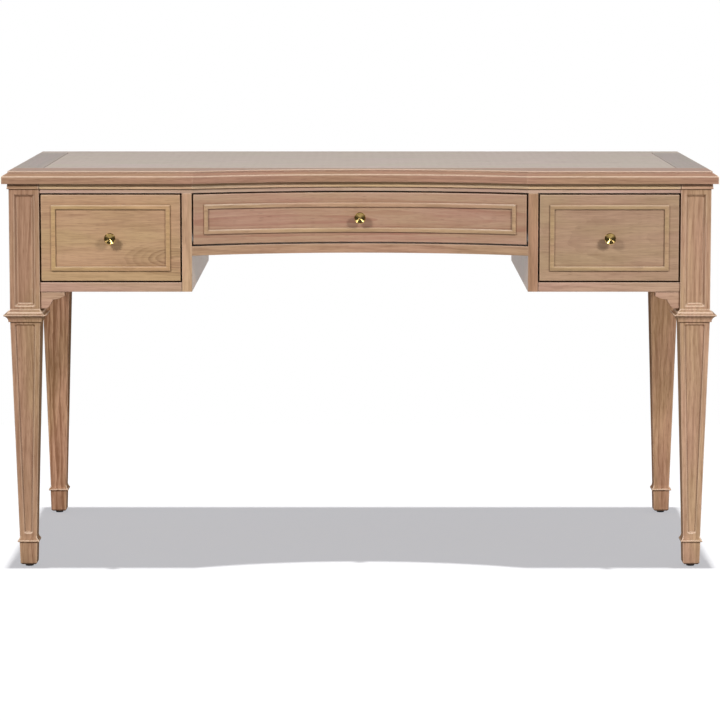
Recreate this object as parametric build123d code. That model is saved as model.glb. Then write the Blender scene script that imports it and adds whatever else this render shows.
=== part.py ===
from build123d import *
import math
import os

# A kneehole writing desk: square tapered legs, a top that bows in over the knees, and three drawers.
# Millimetres. X runs to the right as seen from the front, Y to the back and Z up.
# The origin lies on the floor below the middle of the top.

# Overall size of the top and its height above the floor
WIDTH = 1372.0
DEPTH = 660.0
HEIGHT = 772.0

# Top boards
TOP_THICKNESS = 24.0
EDGE_QUIRK = 3.6
EDGE_WIDTH = 11.0
EDGE_DROP = 10.0
EDGE_CROWN = 0.8
END_BORDER = 70.0
BACK_BORDER = 70.0
FRONT_LAND = 42.0
VEE = 1.8
TONGUE = 6.0
TONGUE_REACH = 8.0
TONGUE_STOP = 15.0

# Hollow of the front, measured on the drawer faces
BOW_DEPTH = 64.0
CENTRE_BAY = 646.0

# Case
OVERHANG = 12.5
CASE_SETBACK = 2.5
APRON = 20.0
APRON_SETBACK = 4.0
PARTITION = 19.0
TOP_RAIL = 18.5
LOWER_RAIL = 18.0
RAIL_LAND = 64.0
SIDE_OPENING = 172.0
CENTRE_OPENING = 102.5
TENON = 8.0
TENON_REACH = 18.0
STUB_REACH = 7.0
TENON_SHOULDER = 12.0
RAIL_SHOULDER = 5.0
GLUE_GAP = 0.2

# Cornice under the top
CORNICE_HEIGHT = 10.5
CORNICE_LEAN = 1.2
CORNICE_CHAMFER = 0.8
CORNICE_GAP = 1.2
CAP_OUT = 3.5
STRIP_BACK = 1.5

# Legs
LEG = 58.0
COLLAR_HEIGHT = 24.0
COLLAR_OUT = 12.0
COLLAR_FILLET = 3.2
COLLAR_LIP = 1.2
COLLAR_LIP_LEVEL = 12.3
COLLAR_BEVEL = 5.0
COLLAR_BEVEL_HEIGHT = 5.0
COLLAR_STEP = 2.5
COLLAR_HOLLOW = 1.6
COLLAR_TOP_HOLLOW = 0.6
COLLAR_DROP = 34.0
ANKLE = 33.5
ANKLE_RING = 41.5
ANKLE_FLARE = 13.0
ANKLE_HOLLOW = 1.4
RING_LIP = 2.0
FOOT_TOP = 34.5
FOOT_BOTTOM = 32.0
FOOT_HEIGHT = 45.3
FOOT_CHAMFER = 3.0
PANEL_BORDER = 10.0
PANEL_BEVEL = 4.4
PANEL_DEPTH = 5.0
PANEL_TOP_GAP = 2.5
PANEL_FOOT_GAP = 6.5
FLUTE_BORDER = 9.5
FLUTE_BEVEL = 1.6
FLUTE_DEPTH = 3.2
FLUTE_CORNER = 2.5
FLUTE_TOP_GAP = 5.0
FLUTE_FOOT_GAP = 4.0

# Floor glides
GLIDE_DIAMETER = 16.0
GLIDE_HEIGHT = 4.5
GLIDE_PIN = 4.0
GLIDE_PIN_LENGTH = 14.0
GLIDE_ROUND = 0.8

# Scrolled brackets in the corners under the side rails
BRACKET_LENGTH = 47.0
BRACKET_HEIGHT = 32.5
BRACKET_THICKNESS = 18.0
BRACKET_SETBACK = 2.0
BRACKET_NOSE = 8.0
BRACKET_FOOT = 12.5
BRACKET_WAIST_X = 24.0
BRACKET_WAIST_Z = 15.5
BRACKET_SCROLL = 1.7
BRACKET_GAP = 0.8
JOINT_WIDTH = 1.0
JOINT_DEPTH = 4.0

# Telescopic slides
SLIDE_HEIGHT = 45.0
SLIDE_THICKNESS = 12.7
SLIDE_GAUGE = 1.2
SLIDE_RUN_GAP = 0.4
SLIDE_START = 31.0
SLIDE_END = 130.0
PACKING_HEIGHT = 64.0

# Dust panels under the side drawers
DUST_PANEL = 5.0
DUST_LIFT = 6.5

# Drawers
DRAWER_GAP = 3.0
FRONT_THICKNESS = 20.0
FRONT_ROUND = 1.0
BOX_WALL = 12.0
BOX_LIFT = 10.0
BOX_DROP = 20.0
BOX_TAIL = 6.0
DADO = 8.0
BACK_DADO = 5.0
BACK_INSET = 8.0
BOTTOM_THICKNESS = 6.0
BOTTOM_LIFT = 9.0
GROOVE = 6.0
BEAD_WIDTH = 8.5
BEAD_PROUD = 4.2
BEAD_EDGE = 3.4
BEAD_BORDER = 19.5

# Knobs, with the screw that holds each from inside
KNOB_DIAMETER = 22.0
KNOB_LENGTH = 24.0
KNOB_BASE = 14.0
KNOB_BASE_HEIGHT = 2.2
KNOB_STEM = 8.6
KNOB_NECK = 10.8
KNOB_HOLLOW = 1.5
KNOB_RIM = 3.6
KNOB_BEVEL = 1.2
KNOB_DISH = 2.4
SCREW = 4.0
SCREW_ROOM = 0.1
SCREW_GRIP = 9.0
SCREW_HEAD = 8.6
SCREW_HEAD_HEIGHT = 2.6
SCREW_HEAD_ROUND = 0.9

# Worked out from the sizes above
FAR = 2.0 * (WIDTH + DEPTH + HEIGHT)
OVER = 2.0
SLIVER = 0.5
TOP_UNDER = HEIGHT - TOP_THICKNESS
LEG_X = WIDTH / 2 - OVERHANG - LEG / 2
LEG_Y = DEPTH / 2 - OVERHANG - LEG / 2
LEG_INNER_X = LEG_X - LEG / 2
LEG_INNER_Y = LEG_Y - LEG / 2
FACE_Y = -(LEG_Y + LEG / 2) + CASE_SETBACK
FACE_BEHIND_TOP = FACE_Y + DEPTH / 2
BAY = CENTRE_BAY / 2
PARTITION_OUT = BAY + PARTITION
RAIL_UNDER = TOP_UNDER - TOP_RAIL
SIDE_FLOOR = RAIL_UNDER - SIDE_OPENING
CASE_UNDER = SIDE_FLOOR - LOWER_RAIL
CENTRE_FLOOR = RAIL_UNDER - CENTRE_OPENING
CENTRE_UNDER = CENTRE_FLOOR - LOWER_RAIL
RAIL_BACK = FACE_Y + BOW_DEPTH + RAIL_LAND
BOW_RADIUS = (BAY ** 2 + BOW_DEPTH ** 2) / (2 * BOW_DEPTH)
BOW_Y = FACE_Y + BOW_DEPTH - BOW_RADIUS
APRON_OUT_X = LEG_X + LEG / 2 - APRON_SETBACK
APRON_OUT_Y = LEG_Y + LEG / 2 - APRON_SETBACK
APRON_IN_X = APRON_OUT_X - APRON
APRON_IN_Y = APRON_OUT_Y - APRON
COLLAR_TOP = CASE_UNDER - COLLAR_DROP
COLLAR_UNDER = COLLAR_TOP - COLLAR_HEIGHT
ANKLE_UNDER = GLIDE_HEIGHT + FOOT_HEIGHT
ANKLE_TOP = ANKLE_UNDER + ANKLE_FLARE
SLIDE_FRONT_Y = FACE_Y + SLIDE_START
SLIDE_BACK_Y = APRON_IN_Y - SLIDE_END
BOX_BACK_Y = SLIDE_BACK_Y + BOX_TAIL


def block(limits):
    """A square-edged board between the limits x0, x1, y0, y1, z0, z1."""
    x0, x1, y0, y1, z0, z1 = limits
    return Pos((x0 + x1) / 2, (y0 + y1) / 2, (z0 + z1) / 2) * Box(x1 - x0, y1 - y0, z1 - z0)


def socket(limits, gap=GLUE_GAP):
    """The hole for a tenon, tongue or board with those limits, larger by the gap all round."""
    x0, x1, y0, y1, z0, z1 = limits
    return block((x0 - gap, x1 + gap, y0 - gap, y1 + gap, z0 - gap, z1 + gap))


def flipped(limits):
    """The same limits on the other side of the middle."""
    x0, x1, y0, y1, z0, z1 = limits
    return (-x1, -x0, y0, y1, z0, z1)


def mirrored(piece):
    """The piece on the other side of the middle."""
    return mirror(piece, about=Plane.YZ)


def bulge(start, end, rise):
    """An arc from start to end that stands out to the left of the way by rise."""
    run = math.hypot(end[0] - start[0], end[1] - start[1])
    middle_x = (start[0] + end[0]) / 2 - rise * (end[1] - start[1]) / run
    middle_y = (start[1] + end[1]) / 2 + rise * (end[0] - start[0]) / run
    return ThreePointArc(start, (middle_x, middle_y), end)


def closed_face(*lines):
    """The face inside lines and arcs that meet end to end."""
    edges = []
    for line in lines:
        edges += line.edges()
    return make_face(edges)


def upright(inward):
    """A plane for a section drawn as (distance along inward, height)."""
    return Plane(origin=(0, 0, 0), x_dir=inward, z_dir=Vector(*inward).cross(Vector(0, 0, 1)))


def ahead_of(setback, curved):
    """Everything in front of a surface that lies setback behind the drawer faces, flat or bowed."""
    if curved:
        return Pos(0, BOW_Y, HEIGHT / 2) * Cylinder(BOW_RADIUS + setback, 2 * HEIGHT)
    return block((-FAR, FAR, -FAR, FACE_Y + setback, -HEIGHT, 2 * HEIGHT))


# The top: one moulded slab cut into a field and four borders

BORDER_X = WIDTH / 2 - END_BORDER
BORDER_FRONT_Y = FACE_Y + BOW_DEPTH - FACE_BEHIND_TOP + FRONT_LAND
BORDER_BACK_Y = DEPTH / 2 - BACK_BORDER
TONGUE_LOW = TOP_UNDER + (TOP_THICKNESS - TONGUE) / 2
TONGUE_HIGH = TONGUE_LOW + TONGUE


def edge_waste():
    """Section of the wood planed away along an edge, as (distance in from the edge, height)."""
    quirk = (EDGE_WIDTH, HEIGHT - EDGE_QUIRK)
    arris = (0, HEIGHT - EDGE_DROP)
    around = Polyline(
        arris,
        (-OVER, HEIGHT - EDGE_DROP),
        (-OVER, HEIGHT + OVER),
        (EDGE_WIDTH, HEIGHT + OVER),
        quirk,
    )
    return closed_face(bulge(quirk, arris, -EDGE_CROWN), around)


def moulded_slab():
    """The whole top, with its bow and its moulded edge, before it is parted into boards."""
    slab = block((-WIDTH / 2, WIDTH / 2, -DEPTH / 2, DEPTH / 2, TOP_UNDER, HEIGHT))
    slab -= ahead_of(-FACE_BEHIND_TOP, curved=True)
    waste = edge_waste()
    sides = (
        ((1, 0, 0), WIDTH),
        ((-1, 0, 0), WIDTH),
        ((0, 1, 0), DEPTH),
        ((0, -1, 0), DEPTH),
    )
    for inward, reach in sides:
        start = Vector(*inward) * (-reach / 2)
        slab -= Pos(start) * extrude(upright(inward) * waste, FAR / 2, both=True)
    bow_edge = Pos(BOW_RADIUS - FACE_BEHIND_TOP, 0) * waste
    slab -= Pos(0, BOW_Y, 0) * revolve(Plane.XZ * bow_edge, Axis.Z)
    return slab


def vee_cut(inward, distance, length, centre=0.0):
    """The vee along a joint, at a distance from the middle, of a given length."""
    vee = closed_face(Polyline((-VEE, HEIGHT), (0, HEIGHT - VEE), (VEE, HEIGHT), (-VEE, HEIGHT)))
    along = Vector(*inward).cross(Vector(0, 0, 1))
    place = Vector(*inward) * distance + along * centre
    return Pos(place) * extrude(upright(inward) * vee, length / 2, both=True)


def top_boards():
    """The five boards of the top, tongued and grooved together."""
    slab = moulded_slab()
    end_length = BORDER_BACK_Y - BORDER_FRONT_Y
    end_middle = (BORDER_BACK_Y + BORDER_FRONT_Y) / 2
    slab -= vee_cut((0, 1, 0), BORDER_FRONT_Y, 2 * BORDER_X)
    slab -= vee_cut((0, 1, 0), BORDER_BACK_Y, 2 * BORDER_X)
    slab -= vee_cut((1, 0, 0), BORDER_X, end_length, -end_middle)
    slab -= vee_cut((1, 0, 0), -BORDER_X, end_length, -end_middle)

    level = (TOP_UNDER - OVER, HEIGHT + OVER)
    field_space = (-BORDER_X, BORDER_X, BORDER_FRONT_Y, BORDER_BACK_Y, *level)
    end_space = (BORDER_X, FAR, BORDER_FRONT_Y, BORDER_BACK_Y, *level)
    tongue_level = (TONGUE_LOW, TONGUE_HIGH)
    tongue_y = (BORDER_FRONT_Y - TONGUE_REACH, BORDER_BACK_Y + TONGUE_REACH)
    field_tongue = (-BORDER_X - TONGUE_REACH, BORDER_X + TONGUE_REACH, *tongue_y, *tongue_level)
    end_tongue = (BORDER_X + TONGUE_REACH + OVER, WIDTH / 2 - TONGUE_STOP, *tongue_y, *tongue_level)
    corners = socket(end_tongue) + socket(flipped(end_tongue))

    field = (slab & block(field_space)) + block(field_tongue)
    right = (slab & block(end_space)) + block(end_tongue) - socket(field_tongue)
    front = slab & block((-FAR, FAR, -FAR, BORDER_FRONT_Y, *level))
    back = slab & block((-FAR, FAR, BORDER_BACK_Y, FAR, *level))
    return {
        "top_field": field,
        "top_border_front": front - socket(field_tongue) - corners,
        "top_border_back": back - socket(field_tongue) - corners,
        "top_border_left": mirrored(right),
        "top_border_right": right,
    }


# Tenons and dust panels, as limits on the right-hand side, shared by the pieces that meet there

RAIL_TENON_Y = (FACE_Y + RAIL_SHOULDER, FACE_Y + RAIL_SHOULDER + 2 * TENON)
TOP_RAIL_TENON = (
    LEG_INNER_X,
    LEG_INNER_X + TENON_REACH,
    *RAIL_TENON_Y,
    RAIL_UNDER + RAIL_SHOULDER,
    TOP_UNDER - RAIL_SHOULDER,
)
LOWER_RAIL_TENON = (
    LEG_INNER_X,
    LEG_INNER_X + TENON_REACH,
    *RAIL_TENON_Y,
    CASE_UNDER + RAIL_SHOULDER,
    SIDE_FLOOR - RAIL_SHOULDER,
)
LOWER_RAIL_STUB = (
    PARTITION_OUT - STUB_REACH,
    PARTITION_OUT,
    *RAIL_TENON_Y,
    CASE_UNDER + RAIL_SHOULDER,
    SIDE_FLOOR - RAIL_SHOULDER,
)
CENTRE_RAIL_STUB = (
    BAY,
    BAY + STUB_REACH,
    *RAIL_TENON_Y,
    CENTRE_UNDER + RAIL_SHOULDER,
    CENTRE_FLOOR - RAIL_SHOULDER,
)
APRON_TENON_Z = (CASE_UNDER + TENON_SHOULDER, TOP_UNDER - TENON_SHOULDER)
SIDE_TENON_X = (APRON_OUT_X - (APRON + TENON) / 2, APRON_OUT_X - (APRON - TENON) / 2)
SIDE_TENON_FRONT = (*SIDE_TENON_X, -LEG_INNER_Y - TENON_REACH, -LEG_INNER_Y, *APRON_TENON_Z)
SIDE_TENON_BACK = (*SIDE_TENON_X, LEG_INNER_Y, LEG_INNER_Y + TENON_REACH, *APRON_TENON_Z)
BACK_TENON = (
    LEG_INNER_X,
    LEG_INNER_X + TENON_REACH,
    APRON_OUT_Y - (APRON + TENON) / 2,
    APRON_OUT_Y - (APRON - TENON) / 2,
    *APRON_TENON_Z,
)
PARTITION_STUB = (
    BAY + (PARTITION - TENON) / 2,
    BAY + (PARTITION + TENON) / 2,
    APRON_IN_Y,
    APRON_IN_Y + STUB_REACH,
    CASE_UNDER + TENON_SHOULDER,
    TOP_UNDER - TENON_SHOULDER,
)

DUST_Z = (CASE_UNDER + DUST_LIFT, CASE_UNDER + DUST_LIFT + DUST_PANEL)
DUST_WIDE = (PARTITION_OUT - GROOVE, APRON_IN_X + GROOVE, -LEG_INNER_Y, LEG_INNER_Y, *DUST_Z)
DUST_LONG = (PARTITION_OUT, LEG_INNER_X, -LEG_INNER_Y - GROOVE, APRON_IN_Y + GROOVE, *DUST_Z)


# Legs

CAP_UNDER = TOP_UNDER - CORNICE_HEIGHT


def cornice_line(inner, out):
    """The cornice's front, from its foot to the top: it stands out from inner, most of all at its foot."""
    under = (inner + out - CORNICE_CHAMFER, CAP_UNDER)
    arris = (inner + out, CAP_UNDER + CORNICE_CHAMFER)
    head = (inner + out - CORNICE_LEAN, TOP_UNDER)
    return [Polyline((inner, CAP_UNDER), under, arris, head)]


def leg_line(out):
    """One side of a leg from the floor up, as (half width, height); out is how far its cap stands out."""
    half = LEG / 2
    ring = (ANKLE_RING / 2, ANKLE_UNDER + RING_LIP)
    ankle = (ANKLE / 2, ANKLE_TOP)
    under = (half + COLLAR_FILLET, COLLAR_UNDER + COLLAR_FILLET)
    lip = (half + COLLAR_OUT, COLLAR_UNDER + COLLAR_LIP_LEVEL)
    lip_top = (half + COLLAR_OUT, COLLAR_UNDER + COLLAR_LIP_LEVEL + COLLAR_LIP)
    bevel = (half + COLLAR_BEVEL, COLLAR_TOP - COLLAR_BEVEL_HEIGHT)
    bevel_foot = (half + COLLAR_BEVEL, COLLAR_TOP - COLLAR_BEVEL_HEIGHT - COLLAR_STEP)
    lines = [
        Polyline(
            (FOOT_BOTTOM / 2 - FOOT_CHAMFER, GLIDE_HEIGHT),
            (FOOT_BOTTOM / 2, GLIDE_HEIGHT + FOOT_CHAMFER),
            (FOOT_TOP / 2, ANKLE_UNDER),
            (ANKLE_RING / 2, ANKLE_UNDER),
            ring,
        ),
        bulge(ring, ankle, ANKLE_HOLLOW),
        Polyline(ankle, (half, COLLAR_UNDER), (half + COLLAR_FILLET, COLLAR_UNDER), under),
        bulge(under, lip, COLLAR_HOLLOW),
        Polyline(lip, lip_top),
        bulge(lip_top, bevel_foot, COLLAR_TOP_HOLLOW),
        Polyline(bevel_foot, bevel),
        bulge(bevel, (half, COLLAR_TOP), COLLAR_TOP_HOLLOW),
        Polyline((half, COLLAR_TOP), (half, CAP_UNDER)),
    ]
    if out:
        return lines + cornice_line(half, out)
    return lines + [Polyline((half, CAP_UNDER), (half, TOP_UNDER))]


def leg_outline():
    """A leg seen square on, with the cap's moulding on its outer side only, to the left."""
    inner = leg_line(0)
    outer = [mirror(line, about=Plane.YZ) for line in leg_line(CAP_OUT)]
    foot = FOOT_BOTTOM / 2 - FOOT_CHAMFER
    floor_line = Polyline((-foot, GLIDE_HEIGHT), (foot, GLIDE_HEIGHT))
    cap_head = -LEG / 2 - CAP_OUT + CORNICE_LEAN
    top_line = Polyline((cap_head, TOP_UNDER), (LEG / 2, TOP_UNDER))
    return closed_face(*inner, *outer, floor_line, top_line)


def sunk_block_panel():
    """The sunk panel on the outer faces of a leg's upper block, cut from the face to the left."""
    low = COLLAR_TOP + PANEL_FOOT_GAP
    high = RAIL_UNDER - PANEL_TOP_GAP
    width = LEG - 2 * PANEL_BORDER
    face = Plane(origin=(-LEG / 2, 0, (low + high) / 2), x_dir=(0, -1, 0), z_dir=(-1, 0, 0))
    rim = face * Rectangle(width, high - low)
    floor = face.offset(-PANEL_DEPTH) * Rectangle(width - 2 * PANEL_BEVEL, high - low - 2 * PANEL_BEVEL)
    return loft([rim, floor], ruled=True)


def flute_outline(low, high, border):
    """The long panel on a tapered face, drawn about the face's middle, with rounded corners."""
    middle = (COLLAR_UNDER + ANKLE_TOP) / 2
    rate = (LEG - ANKLE) / 2 / (COLLAR_UNDER - ANKLE_TOP)
    foot = ANKLE / 2 - border + rate * (low - ANKLE_TOP)
    head = ANKLE / 2 - border + rate * (high - ANKLE_TOP)
    corners = [(-foot, low - middle), (foot, low - middle), (head, high - middle), (-head, high - middle)]
    outline = make_face(Polyline(*corners, close=True).edges())
    return fillet(outline.vertices(), min(FLUTE_CORNER, foot - SLIVER))


def sunk_flute():
    """The sunk panel on the outer faces of a leg's taper, cut from the face to the left."""
    low = ANKLE_TOP + FLUTE_FOOT_GAP
    high = COLLAR_UNDER - FLUTE_TOP_GAP
    lean = math.atan2((LEG - ANKLE) / 2, COLLAR_UNDER - ANKLE_TOP)
    face = Plane(
        origin=(-(LEG + ANKLE) / 4, 0, (COLLAR_UNDER + ANKLE_TOP) / 2),
        x_dir=(0, -1, 0),
        z_dir=(-math.cos(lean), 0, -math.sin(lean)),
    )
    rim = face * flute_outline(low, high, FLUTE_BORDER)
    floor = face.offset(-FLUTE_DEPTH) * flute_outline(
        low + FLUTE_BEVEL, high - FLUTE_BEVEL, FLUTE_BORDER + FLUTE_BEVEL
    )
    return loft([rim, floor], ruled=True)


def plain_leg():
    """A leg about its own axis, with its outer sides to the left and to the front."""
    outline = leg_outline()
    leg = extrude(upright((1, 0, 0)) * outline, LEG, both=True)
    leg &= extrude(upright((0, 1, 0)) * outline, LEG, both=True)
    for sunk in (sunk_block_panel(), sunk_flute()):
        leg -= sunk
        leg -= Rot(0, 0, 90) * sunk
    pin_hole = GLIDE_PIN_LENGTH + GLUE_GAP
    leg -= Pos(0, 0, GLIDE_HEIGHT + pin_hole / 2) * Cylinder(GLIDE_PIN / 2 + GLUE_GAP / 2, pin_hole)
    return leg


def legs():
    """The four legs, mortised for what meets them."""
    leg = plain_leg()
    front = Pos(-LEG_X, -LEG_Y, 0) * leg
    for tenon in (TOP_RAIL_TENON, LOWER_RAIL_TENON, SIDE_TENON_FRONT):
        front -= socket(flipped(tenon))
    back = Pos(-LEG_X, LEG_Y, 0) * mirror(leg, about=Plane.XZ)
    for tenon in (BACK_TENON, SIDE_TENON_BACK):
        back -= socket(flipped(tenon))
    return {
        "leg_front_left": front,
        "leg_front_right": mirrored(front),
        "leg_back_left": back,
        "leg_back_right": mirrored(back),
    }


def foot_glides():
    """The four glides, each a rounded disc on a pin."""
    disc = Pos(0, 0, GLIDE_HEIGHT / 2) * Cylinder(GLIDE_DIAMETER / 2, GLIDE_HEIGHT)
    disc = fillet(disc.edges().sort_by(Axis.Z)[0], GLIDE_ROUND)
    pin = Pos(0, 0, GLIDE_HEIGHT + GLIDE_PIN_LENGTH / 2) * Cylinder(GLIDE_PIN / 2, GLIDE_PIN_LENGTH)
    glide = disc + pin
    places = [(x, y) for x in (-LEG_X, LEG_X) for y in (-LEG_Y, LEG_Y)]
    return Compound([(Pos(x, y, 0) * glide).solid() for x, y in places])


# Case

def top_rail():
    """The rail over the drawers, bowed in at the middle."""
    rail = block((-LEG_INNER_X, LEG_INNER_X, FACE_Y, RAIL_BACK, RAIL_UNDER, TOP_UNDER))
    rail -= ahead_of(0, curved=True)
    return rail + block(TOP_RAIL_TENON) + block(flipped(TOP_RAIL_TENON))


def lower_rail():
    """The rail under the right-hand drawer, with a fine groove where its face meets the partition."""
    rail = block((PARTITION_OUT, LEG_INNER_X, FACE_Y, -LEG_INNER_Y, CASE_UNDER, SIDE_FLOOR))
    joint_x = (PARTITION_OUT, PARTITION_OUT + JOINT_WIDTH)
    rail -= block((*joint_x, FACE_Y, FACE_Y + JOINT_DEPTH, CASE_UNDER, SIDE_FLOOR))
    return rail + block(LOWER_RAIL_TENON) + block(LOWER_RAIL_STUB) - socket(DUST_LONG)


def centre_rail():
    """The bowed rail under the middle drawer."""
    rail = block((-BAY, BAY, FACE_Y, RAIL_BACK, CENTRE_UNDER, CENTRE_FLOOR))
    rail -= ahead_of(0, curved=True)
    return rail + block(CENTRE_RAIL_STUB) + block(flipped(CENTRE_RAIL_STUB))


def partition():
    """The upright board to the right of the kneehole."""
    board = block((BAY, PARTITION_OUT, FACE_Y, APRON_IN_Y, CASE_UNDER, TOP_UNDER))
    board -= block((0, FAR, FACE_Y - OVER, RAIL_BACK, RAIL_UNDER, HEIGHT))
    board -= socket(LOWER_RAIL_STUB)
    board -= socket(CENTRE_RAIL_STUB)
    board -= socket(DUST_WIDE)
    return board + block(PARTITION_STUB)


def side_apron():
    """The board between the two right-hand legs."""
    board = block((APRON_IN_X, APRON_OUT_X, -LEG_INNER_Y, LEG_INNER_Y, CASE_UNDER, TOP_UNDER))
    return board + block(SIDE_TENON_FRONT) + block(SIDE_TENON_BACK) - socket(DUST_WIDE)


def back_apron():
    """The board between the back legs, raised over the kneehole."""
    board = block((-LEG_INNER_X, LEG_INNER_X, APRON_IN_Y, APRON_OUT_Y, CASE_UNDER, TOP_UNDER))
    board -= block((-BAY, BAY, 0, FAR, 0, CENTRE_UNDER))
    for limits in (PARTITION_STUB, DUST_LONG):
        board -= socket(limits)
        board -= socket(flipped(limits))
    return board + block(BACK_TENON) + block(flipped(BACK_TENON))


def packing():
    """The strip that brings the right-hand slide level with the leg."""
    middle = slide_level(SIDE_FLOOR)
    low = middle - PACKING_HEIGHT / 2
    return block((LEG_INNER_X, APRON_IN_X, -LEG_INNER_Y, LEG_INNER_Y, low, low + PACKING_HEIGHT))


def dust_panel():
    """The thin panel that closes the right-hand bay from below, let into grooves all round."""
    return block(DUST_WIDE) + block(DUST_LONG)


def pair(piece):
    """A right-hand piece and its twin on the left, as one group."""
    return Compound([piece.solid(), mirrored(piece).solid()])


def bracket():
    """The scrolled corner piece on the right-hand leg, just clear of the rail, seen from the front."""
    nose = (BRACKET_LENGTH, -BRACKET_NOSE)
    waist = (BRACKET_WAIST_X, -BRACKET_WAIST_Z)
    belly = (BRACKET_FOOT, -BRACKET_HEIGHT)
    head = -BRACKET_GAP
    around = Polyline(belly, (0, -BRACKET_HEIGHT), (0, head), (BRACKET_LENGTH, head), nose)
    nose_scroll = bulge(nose, waist, BRACKET_SCROLL)
    foot_scroll = bulge(waist, belly, BRACKET_SCROLL)
    section = closed_face(around, nose_scroll, foot_scroll)
    place = Plane(
        origin=(LEG_INNER_X, FACE_Y + BRACKET_SETBACK, CASE_UNDER),
        x_dir=(-1, 0, 0),
        z_dir=(0, 1, 0),
    )
    return extrude(place * section, BRACKET_THICKNESS)


# Cornice

def cornice_section(out):
    """A strip of the cornice, as (distance out from the board behind it, height)."""
    back = Polyline((out - CORNICE_LEAN, TOP_UNDER), (0, TOP_UNDER), (0, CAP_UNDER))
    return closed_face(*cornice_line(0, out), back)


def kink(side):
    """The mitre where the straight cornice meets the bow: side is 1 on the right and -1 on the left."""
    turn = math.asin(BAY / BOW_RADIUS) / 2
    return Plane(
        origin=(side * BAY, FACE_Y, 0),
        x_dir=(0, 0, 1),
        z_dir=(side * math.cos(turn), -math.sin(turn), 0),
    )


def cornice():
    """The strips under the top, each a little short of the legs: three in front, one per side, one behind."""
    front_out = CASE_SETBACK + CAP_OUT - STRIP_BACK
    side_out = APRON_SETBACK + CAP_OUT - STRIP_BACK
    front_strip = Pos(0, FACE_Y, 0) * extrude(
        upright((0, -1, 0)) * cornice_section(front_out), FAR, both=True
    )
    ring = Pos(0, BOW_Y, 0) * revolve(
        Plane.XZ * Pos(BOW_RADIUS, 0) * mirror(cornice_section(front_out), about=Plane.YZ), Axis.Z
    )
    front_strip &= block((0, LEG_INNER_X - CORNICE_GAP, -FAR, FAR, 0, HEIGHT))
    right = split(front_strip, bisect_by=kink(1), keep=Keep.TOP)
    ring &= block((-FAR, FAR, FACE_Y - BOW_DEPTH, FAR, 0, HEIGHT))
    centre = split(ring, bisect_by=kink(1), keep=Keep.BOTTOM)
    centre = split(centre, bisect_by=kink(-1), keep=Keep.BOTTOM)
    side = Pos(APRON_OUT_X, 0, 0) * extrude(
        upright((1, 0, 0)) * cornice_section(side_out), LEG_INNER_Y - CORNICE_GAP, both=True
    )
    back = Pos(0, APRON_OUT_Y, 0) * extrude(
        upright((0, 1, 0)) * cornice_section(side_out), LEG_INNER_X - CORNICE_GAP, both=True
    )
    return {
        "cornice_front_left": mirrored(right),
        "cornice_front_centre": centre,
        "cornice_front_right": right,
        "cornice_side_left": mirrored(side),
        "cornice_side_right": side,
        "cornice_back": back,
    }


# Telescopic slides

def slide_level(bay_floor):
    """Height of a slide's middle over the floor of its bay."""
    ceiling = RAIL_UNDER - BOX_DROP
    floor = bay_floor + BOX_LIFT
    return (ceiling + floor) / 2


def channel(web, lip, height):
    """A folded steel member about the height zero, from its web to the ends of its lips."""
    low, high = min(web, lip), max(web, lip)
    body = block((low, high, SLIDE_FRONT_Y, SLIDE_BACK_Y, -height / 2, height / 2))
    hollow = height / 2 - SLIDE_GAUGE
    if web < lip:
        return body - block((web + SLIDE_GAUGE, FAR, -FAR, FAR, -hollow, hollow))
    return body - block((-FAR, web - SLIDE_GAUGE, -FAR, FAR, -hollow, hollow))


def slide_members():
    """The outer, middle and inner member of a slide, the case to their left and the drawer to their right."""
    step = 2 * (SLIDE_GAUGE + SLIDE_RUN_GAP)
    centre = SLIDE_THICKNESS / 2
    outer = channel(0, SLIDE_THICKNESS - 2 * SLIDE_GAUGE, SLIDE_HEIGHT)
    middle = channel(centre - SLIDE_GAUGE, SLIDE_THICKNESS - 2 * SLIDE_GAUGE, SLIDE_HEIGHT - step)
    inner = channel(SLIDE_THICKNESS, centre + SLIDE_RUN_GAP, SLIDE_HEIGHT - 2 * step)
    return outer, middle, inner


# Drawers

def bead_section():
    """The rounded bead, as (distance along the face, how far it stands out)."""
    sides = Polyline((0, BEAD_EDGE), (0, 0), (BEAD_WIDTH, 0), (BEAD_WIDTH, BEAD_EDGE))
    return closed_face(sides, bulge((0, BEAD_EDGE), (BEAD_WIDTH, BEAD_EDGE), BEAD_PROUD - BEAD_EDGE))


def face_point(x, curved):
    """The point of the drawer face at x, and the turn of the face there in degrees."""
    if not curved:
        return FACE_Y, 0.0
    return BOW_Y + math.sqrt(BOW_RADIUS ** 2 - x ** 2), -math.degrees(math.asin(x / BOW_RADIUS))


def mitred(strip, corners):
    """The strip kept between mitres, where corners are the (x, height) points of its trapezium."""
    trapezium = make_face(Polyline(*corners, close=True).edges())
    return strip & extrude(Plane.XZ * trapezium, FAR, both=True)


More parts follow.
